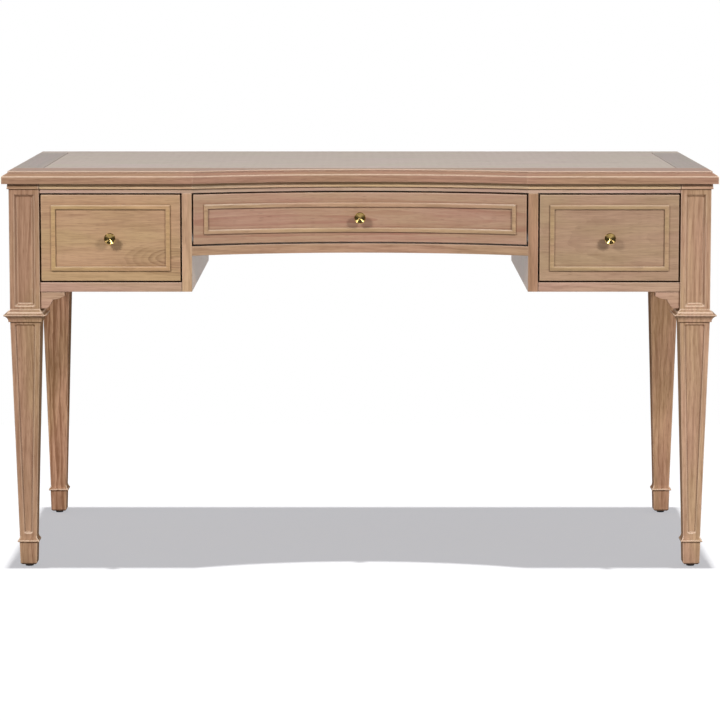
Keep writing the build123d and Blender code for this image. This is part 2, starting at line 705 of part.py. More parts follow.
def bead_frame(x0, x1, z0, z1, curved):
    """The mitred bead on a drawer front, inside the outer limits given."""
    section = bead_section()
    in_x0, in_x1 = x0 + BEAD_WIDTH, x1 - BEAD_WIDTH
    in_z0, in_z1 = z0 + BEAD_WIDTH, z1 - BEAD_WIDTH
    frame = None
    for low, high, outer, inner in ((z0, in_z0, z0, in_z0), (in_z1, z1, z1, in_z1)):
        if curved:
            level = Plane(origin=(BOW_RADIUS, 0, low), x_dir=(0, 0, 1), z_dir=(0, -1, 0))
            ring = revolve(level * section, Axis.Z)
            strip = Pos(0, BOW_Y, 0) * ring & block((-FAR, FAR, BOW_Y, FAR, 0, HEIGHT))
        else:
            level = Plane(origin=(0, FACE_Y, low), x_dir=(0, 0, 1), z_dir=(1, 0, 0))
            strip = extrude(level * section, FAR, both=True)
        strip = mitred(strip, [(x0, outer), (x1, outer), (in_x1, inner), (in_x0, inner)])
        frame = strip if frame is None else frame + strip
    for low, outer, inner in ((x0, x0, in_x0), (in_x1, x1, in_x1)):
        start_y, turn = face_point(low + BEAD_WIDTH / 2, curved)
        place = Pos(low + BEAD_WIDTH / 2, start_y, 0) * Rot(0, 0, turn) * Pos(-BEAD_WIDTH / 2, 0, 0)
        strip = extrude(place * mirror(section, about=Plane.XZ), HEIGHT)
        strip = mitred(strip, [(outer, z0), (outer, z1), (inner, in_z1), (inner, in_z0)])
        frame += strip
    return frame & ahead_of(0, curved)


def knob():
    """A turned knob on a stem, with a dished face, pointing along +Z from its base."""
    base, stem, head = KNOB_BASE / 2, KNOB_STEM / 2, KNOB_DIAMETER / 2
    neck = (stem, KNOB_NECK)
    shoulder = (head, KNOB_LENGTH - KNOB_RIM)
    rim = (head - KNOB_BEVEL, KNOB_LENGTH)
    dish = (0, KNOB_LENGTH - KNOB_DISH)
    base_edge = (base, KNOB_BASE_HEIGHT)
    section = closed_face(
        Polyline(dish, (0, 0), (base, 0), base_edge),
        bulge(base_edge, neck, KNOB_HOLLOW),
        bulge(neck, shoulder, KNOB_HOLLOW),
        Polyline(shoulder, (head, KNOB_LENGTH - KNOB_BEVEL), rim, dish),
    )
    turned = revolve(Plane.XZ * section, Axis.Z)
    return turned - Pos(0, 0, SCREW_GRIP / 2) * Cylinder(SCREW / 2 + SCREW_ROOM, SCREW_GRIP + SCREW_ROOM)


def knob_screw():
    """The screw from inside the drawer, pointing along +Z through the front into the knob."""
    length = FRONT_THICKNESS + SCREW_GRIP - SCREW_ROOM
    shank = Pos(0, 0, length / 2) * Cylinder(SCREW / 2, length)
    head = Pos(0, 0, -SCREW_HEAD_HEIGHT / 2) * Cylinder(SCREW_HEAD / 2, SCREW_HEAD_HEIGHT)
    head = fillet(head.edges().sort_by(Axis.Z)[0], SCREW_HEAD_ROUND)
    return shank + head


def drawer(name, x0, x1, floor, curved):
    """The pieces of the drawer in the bay from x0 to x1 over the given floor."""
    front_z = (floor + DRAWER_GAP, RAIL_UNDER - DRAWER_GAP)
    box_z = (floor + BOX_LIFT, RAIL_UNDER - BOX_DROP)
    side_x = (x0 + SLIDE_THICKNESS, x0 + SLIDE_THICKNESS + BOX_WALL)
    other_x = (x1 - SLIDE_THICKNESS - BOX_WALL, x1 - SLIDE_THICKNESS)
    inside = (side_x[1], other_x[0])
    back_y = (BOX_BACK_Y - BACK_INSET - BOX_WALL, BOX_BACK_Y - BACK_INSET)
    bottom_z = (box_z[0] + BOTTOM_LIFT, box_z[0] + BOTTOM_LIFT + BOTTOM_THICKNESS)

    front_space = (x0 + DRAWER_GAP, x1 - DRAWER_GAP, BOW_Y, 0, *front_z)
    front = (ahead_of(FRONT_THICKNESS, curved) - ahead_of(0, curved)) & block(front_space)
    mid_depth = FRONT_THICKNESS / 2
    face_edges = front.edges().filter_by(
        lambda edge: edge.center().Y < face_point(edge.center().X, curved)[0] + mid_depth
    )
    front = fillet(face_edges, FRONT_ROUND)

    side_space = (*side_x, -DEPTH / 2, BOX_BACK_Y, *box_z)
    other_space = (*other_x, -DEPTH / 2, BOX_BACK_Y, *box_z)
    seat = ahead_of(FRONT_THICKNESS - DADO, curved)
    loose_seat = ahead_of(FRONT_THICKNESS - DADO - GLUE_GAP, curved)
    side = block(side_space) - seat
    other = block(other_space) - seat
    front -= socket(side_space) - loose_seat
    front -= socket(other_space) - loose_seat

    back_space = (inside[0] - BACK_DADO, inside[1] + BACK_DADO, *back_y, *box_z)
    back = block(back_space)
    side -= socket(back_space)
    other -= socket(back_space)

    bottom_space = (inside[0] - GROOVE, inside[1] + GROOVE, -DEPTH / 2, back_y[0] + GROOVE, *bottom_z)
    bottom = block(bottom_space) - ahead_of(FRONT_THICKNESS - GROOVE, curved)
    groove = socket(bottom_space) - ahead_of(FRONT_THICKNESS - GROOVE - GLUE_GAP, curved)
    front -= groove
    side -= groove
    other -= groove
    back -= groove

    knob_x = (x0 + x1) / 2
    knob_z = (front_z[0] + front_z[1]) / 2
    face_y = face_point(0, curved)[0]
    seat_rise = (KNOB_BASE / 2) ** 2 / (2 * BOW_RADIUS) if curved else 0.0
    hole = Pos(knob_x, face_y + FRONT_THICKNESS / 2, knob_z) * Rot(90, 0, 0)
    front -= hole * Cylinder(SCREW / 2 + SCREW_ROOM, 2 * FRONT_THICKNESS)
    towards_room = Rot(90, 0, 0)
    knob_place = Pos(knob_x, face_y - seat_rise, knob_z) * towards_room
    screw_place = Pos(knob_x, face_y + FRONT_THICKNESS, knob_z) * towards_room

    bead = bead_frame(
        x0 + DRAWER_GAP + BEAD_BORDER,
        x1 - DRAWER_GAP - BEAD_BORDER,
        front_z[0] + BEAD_BORDER,
        front_z[1] - BEAD_BORDER,
        curved,
    )
    return {
        f"drawer_{name}_front": front,
        f"drawer_{name}_bead": bead,
        f"drawer_{name}_side_left": side,
        f"drawer_{name}_side_right": other,
        f"drawer_{name}_back": back,
        f"drawer_{name}_bottom": bottom,
        f"knob_{name}": knob_place * knob(),
        f"knob_screw_{name}": screw_place * knob_screw(),
    }


def drawers_and_slides():
    """The three drawers, with the slides that carry them."""
    bays = {
        "left": (-LEG_INNER_X, -PARTITION_OUT, SIDE_FLOOR, False),
        "centre": (-BAY, BAY, CENTRE_FLOOR, True),
        "right": (PARTITION_OUT, LEG_INNER_X, SIDE_FLOOR, False),
    }
    outer, middle, inner = slide_members()
    pieces = {}
    outers = []
    for name, (x0, x1, floor, curved) in bays.items():
        level = slide_level(floor)
        near_side = Pos(x0, 0, level)
        far_side = Pos(x1, 0, level)
        outers += [(near_side * outer).solid(), (far_side * mirrored(outer)).solid()]
        pieces.update(drawer(name, x0, x1, floor, curved))
        pieces[f"slide_middle_{name}"] = Compound(
            [(near_side * middle).solid(), (far_side * mirrored(middle)).solid()]
        )
        pieces[f"slide_inner_{name}"] = Compound(
            [(near_side * inner).solid(), (far_side * mirrored(inner)).solid()]
        )
    pieces["slide_outers"] = Compound(outers)
    return pieces


def desk():
    """Every piece of the desk by name."""
    pieces = {}
    pieces.update(top_boards())
    pieces.update(legs())
    pieces["foot_glides"] = foot_glides()
    pieces["top_rail"] = top_rail()
    pieces["centre_rail"] = centre_rail()
    pieces["back_apron"] = back_apron()
    for name, piece in (
        ("lower_rail", lower_rail()),
        ("partition", partition()),
        ("side_apron", side_apron()),
        ("bracket", bracket()),
    ):
        pieces[f"{name}_right"] = piece
        pieces[f"{name}_left"] = mirrored(piece)
    pieces["slide_packings"] = pair(packing())
    pieces["dust_panels"] = pair(dust_panel())
    pieces.update(cornice())
    pieces.update(drawers_and_slides())
    return pieces


os.makedirs("parts", exist_ok=True)
for node, piece in desk().items():
    export_step(piece, f"parts/{node}.step")
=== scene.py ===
import math

import bmesh
import bpy
from mathutils import Euler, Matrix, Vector


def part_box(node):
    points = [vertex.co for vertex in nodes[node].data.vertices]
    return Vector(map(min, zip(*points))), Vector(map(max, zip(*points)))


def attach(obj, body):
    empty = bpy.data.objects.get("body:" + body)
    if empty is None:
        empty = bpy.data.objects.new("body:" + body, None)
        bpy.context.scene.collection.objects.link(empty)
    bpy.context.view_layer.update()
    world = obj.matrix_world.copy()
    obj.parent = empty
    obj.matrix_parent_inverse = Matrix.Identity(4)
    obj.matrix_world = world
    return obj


# The looks of a kneehole writing desk: lacquered light walnut, brass knobs and zinc-plated drawer slides.
# Metres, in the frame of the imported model: X to the right, Y to the back and Z up.

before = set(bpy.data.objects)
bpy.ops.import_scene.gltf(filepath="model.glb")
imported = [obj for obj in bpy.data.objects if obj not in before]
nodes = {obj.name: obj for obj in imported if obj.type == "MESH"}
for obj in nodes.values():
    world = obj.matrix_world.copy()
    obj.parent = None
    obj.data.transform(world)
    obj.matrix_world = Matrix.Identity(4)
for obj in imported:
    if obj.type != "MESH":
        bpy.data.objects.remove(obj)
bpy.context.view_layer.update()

# Camera, with its pitch in degrees and its shift as a share of the picture
IMAGE_PIXELS = 720
SENSOR_MM = 36.0
FOCAL_PIXELS = 2954.0
CAMERA_Y = -5.965
CAMERA_Z = 1.1466
CAMERA_PITCH = 6.06
CAMERA_SHIFT = -0.1

# Directions of the grain, as turns that bring it to the pattern's own X
ALONG_X = (0.0, 0.0, 0.0)
ALONG_Y = (0.0, 0.0, -math.pi / 2)
ALONG_Z = (0.0, math.pi / 2, 0.0)

SIDES = ("left", "right")
BAYS = ("left", "centre", "right")

# The bow of the front: its radius, the place of its centre in Y and half its span
BOW_RADIUS = 0.84707
BOW_CENTRE = -1.09807
BOW_HALF_SPAN = 0.323

# Noise patterns of the wood: waves per metre along and across the grain, and detail
NOISE_MEAN = 0.5
DRIFT_NOISE = (2.3, 3.5, 1.0)
RIPPLE_NOISE = (7.0, 55.0, 3.0)
BROAD_FIBRES = (9.0, 150.0, 3.0)
FINE_FIBRES = (26.0, 600.0, 2.0)
PORE_DASHES = (60.0, 1500.0, 0.0)
CLOUD_NOISE = (4.0, 20.0, 2.0)
FINE_SHARE = 0.9
PORE_RISE = (0.6, 0.74)
CLOUD_RISE = (0.36, 0.64)

# Growth rings: the shade through one year, the strength of the weakest year and the fade away from the heart
RING_PROFILE = ((0.0, 0.1), (0.45, 0.3), (0.78, 1.0), (0.9, 0.75), (1.0, 0.1))
WEAKEST_YEAR = 0.4
HEART_FADE = (0.5, 1.0)

# Colour of the wood: its pale and dark colours as shares of a board's tone, and the casts of clouds and pores
PALE_SHARE = 1.14
DEEP_SHARE = (0.68, 0.62, 0.58)
DEEP_START = 0.18
PINK_CAST = (1.02, 0.98, 1.02, 1.0)
TAN_CAST = (0.985, 1.015, 0.955, 1.0)
PORE_CAST = (0.55, 0.48, 0.42, 1.0)
PORE_SHARE = 0.45

# Surface of the wood: what fibres and pores add to its roughness and height, and its bump
FIBRE_ROUGHNESS = 0.12
PORE_ROUGHNESS = 0.12
FIBRE_HEIGHT = 0.5
PORE_HEIGHT = -0.6
GRAIN_STRENGTH = 0.25
GRAIN_DEPTH = 0.0003

# Edges of the wood: rounded arrises, a painted highlight on arrises that face up, and painted shade in
# corners
ARRIS_RADIUS = 0.0012
# The painted highlight on arrises: how far it reaches, and its pale colour
HIGHLIGHT_REACH = 0.004
HIGHLIGHT_COLOUR = (0.82, 0.63, 0.48, 1.0)
# Brown colour of the painted shade in corners
SHADE_COLOUR = (0.30, 0.13, 0.05, 1.0)
ARRIS_SAMPLES = 6
CORNER_SAMPLES = 8
ARRIS_RISE = (0.0, 0.03)
UPWARD_RISE = (-0.2, 0.5)
CORNER_RISE = (0.08, 0.4)

# Zinc plate: streaks and blotches as noise, colours, and the swing and the least of its roughness
ZINC_STREAKS = (12.0, 900.0, 2.0)
ZINC_BLOTCHES = (60.0, 3.0)
ZINC_DARK = (0.5, 0.52, 0.55, 1.0)
ZINC_PALE = (0.68, 0.69, 0.69, 1.0)
ZINC_ROUGHNESS = (0.3, 0.2)

# Brass: turning rings, tarnish, colours, roughness, and the stretch and turn of its highlights
TURNING_WAVES = 3500.0
TURNING_STRENGTH = 0.1
TURNING_DEPTH = 0.0001
TARNISH_NOISE = (180.0, 3.0)
TARNISH_RISE = (0.4, 0.75)
BRASS_BRIGHT = (0.66, 0.455, 0.165, 1.0)
BRASS_DULL = (0.48, 0.315, 0.105, 1.0)
BRASS_ROUGHNESS = (0.1, 0.2)
BRASS_STRETCH = 0.9
QUARTER_TURN = 0.25

# Black plastic: grit, colours and roughness
GRIT_NOISE = (900.0, 2.0)
PLASTIC_DARK = (0.006, 0.006, 0.006, 1.0)
PLASTIC_PALE = (0.015, 0.015, 0.015, 1.0)
PLASTIC_ROUGHNESS = (0.2, 0.45)

# Mean colours of the boards
# The top's tone is its wood made paler and greyer, with part of the lacquer's sheen painted in
TOP_TONE_AND_SHEEN = (0.468, 0.368, 0.296)
TOP_END_TONE = (0.3, 0.226, 0.186)
TOP_EDGE_TONE = (0.375, 0.216, 0.138)
LEG_TONES = {"left": (0.369, 0.229, 0.143), "right": (0.452, 0.289, 0.187)}
BACK_LEG_TONES = {"left": (0.49, 0.29, 0.18), "right": (0.48, 0.29, 0.18)}
RAIL_TONE = (0.44, 0.28, 0.198)
TOP_RAIL_TONE = (0.48, 0.33, 0.25)
CENTRE_RAIL_TONE = (0.42, 0.26, 0.17)
# The cornice's tone is its wood lifted, with light painted in where the top's overhang shades it
CORNICE_TONE_AND_PAINTED_LIGHT = (0.57, 0.395, 0.228)
STILE_TONES = {"left": (0.489, 0.317, 0.196), "right": (0.398, 0.235, 0.141)}
DRAWER_TONES = {
    "left": (0.424, 0.268, 0.15),
    "centre": (0.41, 0.26, 0.174),
    "right": (0.386, 0.253, 0.16),
}
BEAD_SHARE = (1.12, 1.12, 1.0)
BOX_TONE = (0.62, 0.47, 0.31)

# The look of a plain board, and what changes on the others. Lengths are in metres and lean is in radians.
# The cap is the height of the moulding on top of a leg, whose grain lies level.
WOOD = {
    "ring": 0.0065,
    "ring_reach": 1.0,
    "wander": 0.03,
    "ripple": 1.0,
    "figure": 0.4,
    "streaks": 1.1,
    "lean": 0.03,
    "deep": DEEP_SHARE,
    "dullness": 0.3,
    "shine": 0.5,
    # Strength and reach of the painted shade in corners, and strength of the painted highlight on up-facing
    # arrises
    "corner_shade": 0.6,
    "corner_shade_reach": 0.004,
    "arris_highlight": 0.35,
    "bowed": False,
    "cap": 0.0,
}
# The boards below change the strengths of the painted shade in corners and of the painted highlight on
# arrises
TOP_END = {"figure": 0.3, "dullness": 0.35, "shine": 0.4, "corner_shade": 1.0}
TOP_FIELD = {**TOP_END, "wander": 0.05}
TOP_EDGE = {
    "wander": 0.05,
    "dullness": 0.42,
    "shine": 0.35,
    "corner_shade": 1.0,
    "corner_shade_reach": 0.005,
    "arris_highlight": 1.0,
    "bowed": True,
}
LEG = {"dullness": 0.5, "shine": 0.0, "corner_shade": 0.6, "arris_highlight": 1.3, "cap": 0.0105}
FRONT_LEG = {**LEG, "ring": 0.0075, "figure": 0.6, "lean": 0.015, "streaks": 1.4}
BACK_LEG = {**LEG, "ring": 0.011, "wander": 0.06, "ripple": 2.2, "streaks": 1.6, "deep": (0.58, 0.5, 0.44)}
BACK_LEG_FIGURES = {"left": 1.1, "right": 0.4}
QUIET = {"figure": 0.3}
TOP_RAIL = {**QUIET, "bowed": True}
CENTRE_RAIL = {"streaks": 1.5, "shine": 0.1, "bowed": True}
APRON = {"wander": 0.05}
STILE = {"lean": 0.01, "shine": 0.35}
BRACKET = {"figure": 0.2, "shine": 0.0}
CORNICE = {**QUIET, "corner_shade": 0.1, "arris_highlight": 0.6}
DRAWER_FRONT = {"corner_shade": 0.2}
DRAWER_FRONTS = {
    "left": {
        **DRAWER_FRONT,
        "ring": 0.005,
        "ring_reach": 0.045,
        "lean": -0.35,
        "wander": 0.015,
        "figure": 0.8,
        "streaks": 1.6,
    },
    "centre": {
        **DRAWER_FRONT,
        "ring": 0.0104,
        "ring_reach": 0.05,
        "lean": 0.05,
        "wander": 0.004,
        "figure": 0.9,
        "deep": (0.87, 0.69, 0.68),
        "bowed": True,
    },
    "right": {
        **DRAWER_FRONT,
        "ring": 0.02,
        "ring_reach": 0.12,
        "lean": -0.28,
        "wander": 0.02,
        "figure": 0.3,
    },
}
BEAD = {"corner_shade": 0.4}
BOX_BOARD = {"figure": 0.25}
PLY_BOARD = {**QUIET, "ring": 0.012}

# Places of single boards in the trunk: along it, and from the pith to the board's middle
PITHS = {
    "top_field": (0.3, 0.05, 0.09),
    "top_border_front": (1.7, 0.03, 0.06),
    "top_border_back": (2.9, 0.04, 0.07),
    "top_border_left": (4.1, 0.05, 0.05),
    "top_border_right": (5.3, -0.04, 0.06),
    "top_rail": (0.2, 0.09, 0.03),
    "centre_rail": (1.2, 0.1, 0.04),
    "back_apron": (2.2, 0.06, 0.03),
    "cornice_front_centre": (3.3, 0.1, 0.05),
    "cornice_back": (4.4, 0.1, 0.05),
    "slide_packings": (5.5, 0.08, 0.03),
    "dust_panels": (6.6, 0.03, 0.1),
    "drawer_left_front": (7.0, 0.052, 0.04),
    "drawer_centre_front": (8.6, 0.008, 0.005),
    "drawer_right_front": (10.4, 0.05, 0.0),
}

# Boards that come in pairs or threes: from the pith to a board's middle, and the steps along the trunk
FRONT_LEG_PITH = (0.06, 0.045)
BACK_LEG_PITH = (0.02, 0.07)
LOWER_RAIL_PITH = (0.08, 0.05)
STILE_PITH = (0.07, 0.04)
SIDE_APRON_PITH = (0.05, 0.04)
BRACKET_PITH = (0.06, 0.05)
FRONT_CORNICE_PITH = (0.11, 0.05)
SIDE_CORNICE_PITH = (0.11, 0.04)
BEAD_PITH = (0.1, 0.04)
BOX_SIDE_PITH = (0.07, 0.05)
BOX_BACK_PITH = (0.08, 0.05)
BOX_BOTTOM_PITH = (0.03, 0.1)
LEG_STEP = 1.8
BACK_LEG_STEP = 0.9
CASE_START = 5.0
CASE_STEP = 1.3
BOX_SIDE_STEP = 0.6

# Screws in the inner slides: a pan head with a cross slot, the slide's web and the row
SCREW_HEAD_RADIUS = 0.0036
SCREW_CROWN_RADIUS = 0.0026
SCREW_RIM_HEIGHT = 0.0007
SCREW_HEAD_HEIGHT = 0.0018
SCREW_SLOT_REACH = 0.0017
SCREW_SLOT_HALF_WIDTH = 0.00035
SCREW_SLOT_DEPTH = 0.001
SCREW_SIDES = 20
SLIDE_WEB = 0.0012
SCREWS_IN_ROW = 4
SCREW_FIRST = 0.035
SCREW_LAST = 0.03

# Floor and room: sizes in metres, colours and grey levels
FLOOR_SIZE = 3.0
FLOOR_GLOW = (0.45, 0.452, 0.475, 1.0)
FLOOR_SEEN = 0.36
FLOOR_BOUNCE = 0.35
ROOM_AMBIENT = 0.2
ROOM_FRONT = 0.06
ROOM_BACK = 1.0
ROOM_RISE = (0.0, 0.6)
WHITE = 1.0

# Soft boxes in front, with their power in watts and their spread in degrees
KEY_SPOTS = {"left": (-2.0, -3.4, 2.5), "right": (2.1, -3.4, 2.45)}
KEY_TARGETS = {"left": (-0.6, -0.3, 0.2), "right": (0.6, -0.3, 0.2)}
KEY_SIZE = 0.7
KEY_POWER = 12.8
KEY_SPREAD = 60.0

# Far lamps: strength in watts per square metre, and spread and tilt in degrees
FLOOR_LIGHT = (4.6, 1.6, 1.0)
TOP_FILL = (0.6, 20.0, 0.0)
BACK_FILL = (1.5, 3.0, -91.5)


# Small helpers for node trees

def feed(tree, socket, value):
    """Links a socket to another one, or sets its value."""
    if isinstance(value, bpy.types.NodeSocket):
        tree.links.new(value, socket)
    else:
        socket.default_value = value


def add(tree, kind, inputs=None, **settings):
    """A new node with its settings made and its inputs fed by name or number."""
    node = tree.nodes.new(kind)
    for name, value in settings.items():
        setattr(node, name, value)
    for key, value in (inputs or {}).items():
        feed(tree, node.inputs[key], value)
    return node


def sums(tree, operation, first, second=0.0, third=0.0, clamp=False):
    """The result of a Math node."""
    node = add(tree, "ShaderNodeMath", {0: first, 1: second, 2: third}, operation=operation, use_clamp=clamp)
    return node.outputs[0]


def vector_sums(tree, operation, first, second=(0.0, 0.0, 0.0)):
    """The result of a Vector Math node that gives a vector."""
    node = add(tree, "ShaderNodeVectorMath", {0: first, 1: second}, operation=operation)
    return node.outputs["Vector"]


def vector_value(tree, operation, first, second=(0.0, 0.0, 0.0)):
    """The result of a Vector Math node that gives a number."""
    node = add(tree, "ShaderNodeVectorMath", {0: first, 1: second}, operation=operation)
    return node.outputs["Value"]


def axes_of(tree, vector):
    """The three parts of a vector, by name."""
    return add(tree, "ShaderNodeSeparateXYZ", {0: vector}).outputs


def grey(level):
    """A colour without hue."""
    return (level, level, level, 1.0)


def mixed(tree, share, first, second, blend="MIX"):
    """Two colours mixed by a share."""
    node = add(tree, "ShaderNodeMix", data_type="RGBA", blend_type=blend)
    for socket, value in ((node.inputs[0], share), (node.inputs[6], first), (node.inputs[7], second)):
        feed(tree, socket, value)
    return node.outputs[2]


def smooth_step(tree, value, low, high):
    """0 below low and 1 above high, with a smooth rise between them."""
    node = add(
        tree,
        "ShaderNodeMapRange",
        {"Value": value, "From Min": low, "From Max": high},
        interpolation_type="SMOOTHSTEP",
    )
    return node.outputs["Result"]


def streaky_noise(tree, vector, along, across, detail):
    """Noise drawn out along the grain, with its waves per metre along and across."""
    stretched = vector_sums(tree, "MULTIPLY", vector, (along, across, across))
    return add(tree, "ShaderNodeTexNoise", {"Vector": stretched, "Scale": 1.0, "Detail": detail}).outputs


def even_noise(tree, vector, scale, detail):
    """Noise that is the same in all directions, with its waves per metre."""
    return add(tree, "ShaderNodeTexNoise", {"Vector": vector, "Scale": scale, "Detail": detail}).outputs[0]


def group(name, inputs, outputs, fixed=None):
    """A shader node group with sockets by kind, the fixed ones among them with a value, and its two ends."""
    tree = bpy.data.node_groups.new(name, "ShaderNodeTree")
    for socket, kind in inputs.items():
        tree.interface.new_socket(socket, in_out="INPUT", socket_type=f"NodeSocket{kind}")
    for socket, value in (fixed or {}).items():
        made = tree.interface.new_socket(socket, in_out="INPUT", socket_type="NodeSocketFloat")
        made.default_value = value
    for socket, kind in outputs.items():
        tree.interface.new_socket(socket, in_out="OUTPUT", socket_type=f"NodeSocket{kind}")
    start = tree.nodes.new("NodeGroupInput")
    end = tree.nodes.new("NodeGroupOutput")
    return tree, start.outputs, end.inputs


def place(tree, used, inputs):
    """A group node in a tree, fed by name."""
    return add(tree, "ShaderNodeGroup", inputs, node_tree=used).outputs


# Shared effects

def make_bowed_board():
    """Coordinates that follow the bow, so that a bent board keeps the figure of a straight one."""
    tree, given, result = group(
        "bowed board",
        {"Vector": "Vector"},
        {"Vector": "Vector"},
        fixed={"Radius": BOW_RADIUS, "Centre": BOW_CENTRE, "Half Span": BOW_HALF_SPAN},
    )
    axes = axes_of(tree, given["Vector"])
    aside = sums(tree, "MINIMUM", sums(tree, "ABSOLUTE", axes["X"]), given["Half Span"])
    square = sums(tree, "MULTIPLY", given["Radius"], given["Radius"])
    reach = sums(tree, "SQRT", sums(tree, "SUBTRACT", square, sums(tree, "MULTIPLY", aside, aside)))
    depth = sums(tree, "SUBTRACT", axes["Y"], sums(tree, "ADD", given["Centre"], reach))
    flat = add(tree, "ShaderNodeCombineXYZ", {"X": axes["X"], "Y": depth, "Z": axes["Z"]})
    feed(tree, result["Vector"], flat.outputs[0])
    return tree


# What the figure takes from a board's look
FIGURE_INPUTS = {
    "Fibre Vector": "Vector",
    "Ring Vector": "Vector",
    "Ring Width": "Float",
    "Ring Reach": "Float",
    "Wander": "Float",
    "Ripple": "Float",
}


def ring_shade(tree, phase):
    """The shade of the wood within one year's growth, from the phase of its rings."""
    ramp_node = add(tree, "ShaderNodeValToRGB", {"Fac": sums(tree, "FRACT", phase)})
    ramp = ramp_node.color_ramp
    ramp.interpolation = "B_SPLINE"
    for position, shade in RING_PROFILE:
        stop = ramp.elements.new(position)
        stop.color = grey(shade)
    ramp.elements.remove(ramp.elements[0])
    ramp.elements.remove(ramp.elements[-1])
    return ramp_node.outputs[0]


def make_figure():
    """Growth rings, fibres, pores and clouds of a board with its grain along X and its pith at Y = Z = 0."""
    tree, given, result = group(
        "wood figure",
        FIGURE_INPUTS,
        {"Rings": "Float", "Fibres": "Float", "Pores": "Float", "Clouds": "Float"},
    )
    vector = given["Ring Vector"]
    slow = streaky_noise(tree, vector, *DRIFT_NOISE)["Color"]
    drift = vector_sums(tree, "SUBTRACT", slow, (NOISE_MEAN, NOISE_MEAN, NOISE_MEAN))
    drift = add(tree, "ShaderNodeVectorMath", {0: drift, "Scale": given["Wander"]}, operation="SCALE")
    bent = vector_sums(tree, "ADD", vector, drift.outputs[0])
    bent = vector_sums(tree, "MULTIPLY", bent, (0.0, 1.0, 1.0))
    radius = vector_value(tree, "LENGTH", bent)
    ripple = streaky_noise(tree, vector, *RIPPLE_NOISE)[0]
    ripple = sums(tree, "MULTIPLY", sums(tree, "SUBTRACT", ripple, NOISE_MEAN), given["Ripple"])
    phase = sums(tree, "ADD", sums(tree, "DIVIDE", radius, given["Ring Width"]), ripple)
    ring = ring_shade(tree, phase)
    count = {"W": sums(tree, "FLOOR", phase)}
    year = add(tree, "ShaderNodeTexWhiteNoise", count, noise_dimensions="1D").outputs["Value"]
    strength = sums(tree, "MULTIPLY_ADD", year, 1.0 - WEAKEST_YEAR, WEAKEST_YEAR)
    outward = sums(tree, "DIVIDE", radius, given["Ring Reach"])
    heart = sums(tree, "SUBTRACT", 1.0, smooth_step(tree, outward, *HEART_FADE))
    strength = sums(tree, "MULTIPLY", strength, heart)
    feed(tree, result["Rings"], sums(tree, "MULTIPLY", ring, strength))

    vector = given["Fibre Vector"]
    broad = streaky_noise(tree, vector, *BROAD_FIBRES)[0]
    fine = streaky_noise(tree, vector, *FINE_FIBRES)[0]
    fine_swing = sums(tree, "SUBTRACT", fine, NOISE_MEAN)
    feed(tree, result["Fibres"], sums(tree, "MULTIPLY_ADD", fine_swing, FINE_SHARE, broad))
    dashes = streaky_noise(tree, vector, *PORE_DASHES)[0]
    feed(tree, result["Pores"], smooth_step(tree, dashes, *PORE_RISE))
    feed(tree, result["Clouds"], streaky_noise(tree, vector, *CLOUD_NOISE)[0])
    return tree


def make_lacquered_wood(figure):
    """Colour, roughness and height of lacquered wood, from its pale and its dark colour."""
    tree, given, result = group(
        "lacquered wood",
        {
            **FIGURE_INPUTS,
            "Pale": "Color",
            "Dark": "Color",
            "Figure": "Float",
            "Streaks": "Float",
            "Dullness": "Float",
        },
        {"Color": "Color", "Roughness": "Float", "Height": "Float"},
    )
    parts = place(tree, figure, {name: given[name] for name in FIGURE_INPUTS})
    depth = sums(tree, "MULTIPLY", parts["Rings"], given["Figure"])
    fibre_swing = sums(tree, "SUBTRACT", parts["Fibres"], NOISE_MEAN)
    streaks = sums(tree, "MULTIPLY", fibre_swing, given["Streaks"])
    share = sums(tree, "SUBTRACT", sums(tree, "ADD", depth, DEEP_START), streaks, clamp=True)
    colour = mixed(tree, share, given["Pale"], given["Dark"])
    cloud = smooth_step(tree, parts["Clouds"], *CLOUD_RISE)
    hue = mixed(tree, cloud, PINK_CAST, TAN_CAST)
    colour = mixed(tree, 1.0, colour, hue, "MULTIPLY")
    pore_share = sums(tree, "MULTIPLY", parts["Pores"], PORE_SHARE)
    colour = mixed(tree, pore_share, colour, mixed(tree, 1.0, colour, PORE_CAST, "MULTIPLY"))
    feed(tree, result["Color"], colour)
    dull = sums(tree, "MULTIPLY_ADD", parts["Fibres"], FIBRE_ROUGHNESS, given["Dullness"])
    feed(tree, result["Roughness"], sums(tree, "MULTIPLY_ADD", parts["Pores"], PORE_ROUGHNESS, dull))
    grooves = sums(tree, "MULTIPLY", parts["Pores"], PORE_HEIGHT)
    feed(tree, result["Height"], sums(tree, "MULTIPLY_ADD", fibre_swing, FIBRE_HEIGHT, grooves))
    return tree


